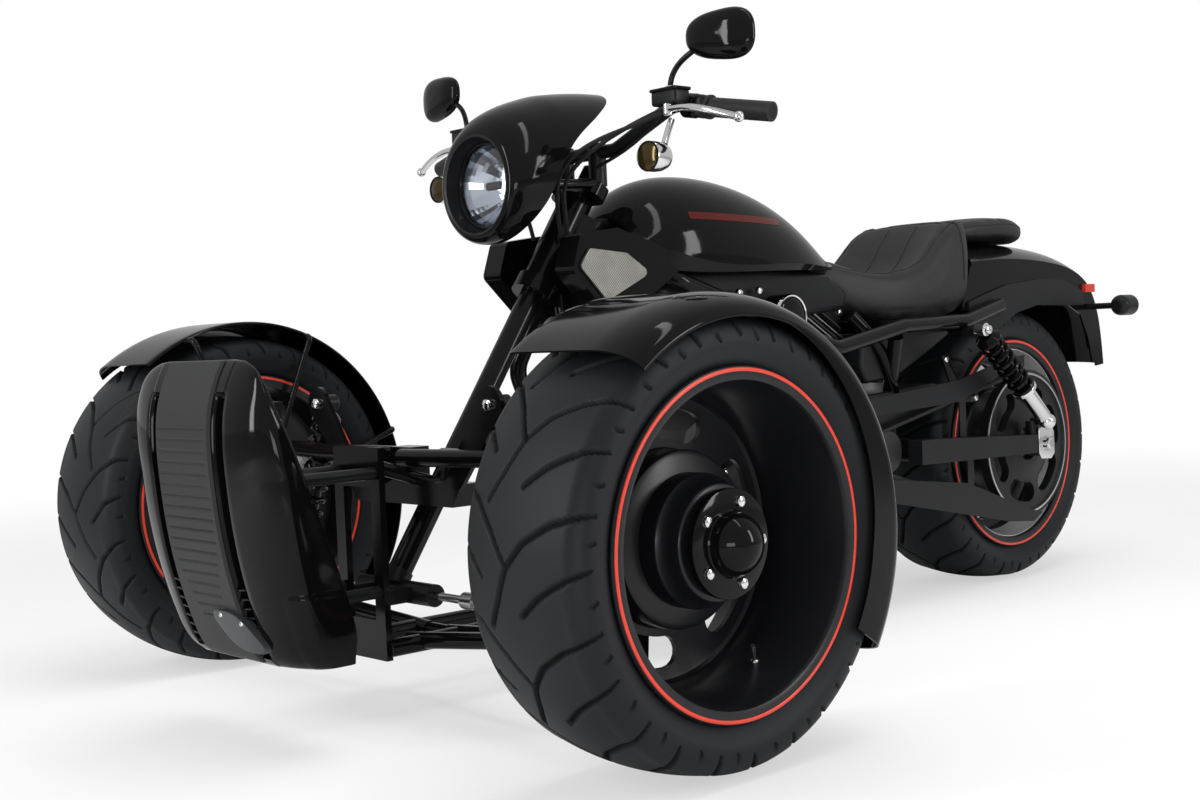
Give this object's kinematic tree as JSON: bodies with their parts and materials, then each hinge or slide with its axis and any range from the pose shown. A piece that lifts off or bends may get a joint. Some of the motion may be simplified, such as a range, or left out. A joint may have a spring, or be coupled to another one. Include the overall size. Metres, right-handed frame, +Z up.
{
  "type": "reverse motorized trike",
  "caption": "Reverse trike with wide steered front wheels, wishbone front suspension, a V-twin engine and one driven rear wheel.",
  "frame": {"origin": "on the floor below the middle of the machine's length, on its centre plane", "axes": "+X forward, +Y to the rider's left, +Z up"},
  "size_m": [2.52, 1.5574, 1.1599],
  "materials": {
    "frame_paint": "gloss black",
    "body_paint": "gloss black",
    "satin_black": "satin black",
    "bare_metal": "bare",
    "chrome": "polished",
    "tyre": "rubber",
    "rubber": "matt",
    "leather": "grained",
    "screen": "satin mesh",
    "lamp_glass": "clear",
    "amber": "smoked amber",
    "red_lens": "red lens",
    "black_plastic": "matt ribbed"
  },
  "bodies": {
    "chassis": {"frame_head": "frame_paint", "frame_rails": "frame_paint", "frame_cradle": "frame_paint", "front_subframe": "frame_paint", "upper_arms": "frame_paint", "lower_arms": "frame_paint", "shocks_front": "satin_black", "steering_rack": "satin_black", "radiator_shroud": "body_paint", "radiator_band": "black_plastic", "radiator": "satin_black", "engine_block": "satin_black", "cylinders": "satin_black", "exhaust": "satin_black", "tank_cover": "body_paint", "side_screens": "screen", "seat": "leather", "pillion_pad": "leather", "rear_fender": "body_paint", "fender_struts": "satin_black", "side_markers": "red_lens", "signals_rear": "satin_black", "plate_bracket": "satin_black", "swingarm": "satin_black", "shocks_rear": "satin_black", "belt": "rubber", "belt_guards": "satin_black", "foot_pegs": "rubber"},
    "steering": {"steering_column": "frame_paint", "handlebar": "satin_black", "grips": "rubber", "levers": "chrome", "mirrors": "body_paint", "signals_front": "chrome", "headlamp": "lamp_glass", "fairing": "body_paint"},
    "rack": {"tie_rods": "bare_metal"},
    "knuckle_left": {"knuckle_left": "satin_black", "fender_front_left": "body_paint"},
    "knuckle_right": {"knuckle_right": "satin_black", "fender_front_right": "body_paint"},
    "wheel_front_left": {"tyre_front_left": "tyre", "rim_front_left": "satin_black", "hub_front_left": "body_paint"},
    "wheel_front_right": {"tyre_front_right": "tyre", "rim_front_right": "satin_black", "hub_front_right": "body_paint"},
    "wheel_rear": {"tyre_rear": "tyre", "rim_rear": "satin_black", "pulley_rear": "bare_metal", "brake_disc_rear": "bare_metal"}
  },
  "joints": [
    {"name": "steering_turn", "type": "hinge", "parent": "chassis", "child": "steering", "pos_m": [0.865, 0, 0.234], "axis": [-0.5664, 0, 0.8241], "range_deg": [-24, 24]},
    {"name": "rack_slide", "type": "slide", "parent": "chassis", "child": "rack", "axis": [0, -1, 0], "range_m": [-0.036, 0.036]},
    {"name": "knuckle_left_turn", "type": "hinge", "parent": "chassis", "child": "knuckle_left", "pos_m": [0.825, 0.505, 0.3245], "axis": [0, 0, 1], "range_deg": [-25, 25]},
    {"name": "knuckle_right_turn", "type": "hinge", "parent": "chassis", "child": "knuckle_right", "pos_m": [0.825, -0.505, 0.3245], "axis": [0, 0, 1], "range_deg": [-25, 25]},
    {"name": "wheel_front_left_spin", "type": "hinge", "parent": "knuckle_left", "child": "wheel_front_left", "pos_m": [0.825, 0.6467, 0.3245], "axis": [0, 1, 0], "continuous": true},
    {"name": "wheel_front_right_spin", "type": "hinge", "parent": "knuckle_right", "child": "wheel_front_right", "pos_m": [0.825, -0.6467, 0.3245], "axis": [0, 1, 0], "continuous": true},
    {"name": "wheel_rear_spin", "type": "hinge", "parent": "chassis", "child": "wheel_rear", "pos_m": [-0.835, 0, 0.3245], "axis": [0, 1, 0], "continuous": true}
  ],
  "couplings": [
    {"joint": "rack_slide", "follows": "steering_turn", "m_per_rad": -0.077681},
    {"joint": "knuckle_left_turn", "follows": "steering_turn", "ratio": 1},
    {"joint": "knuckle_right_turn", "follows": "steering_turn", "ratio": 1}
  ]
}
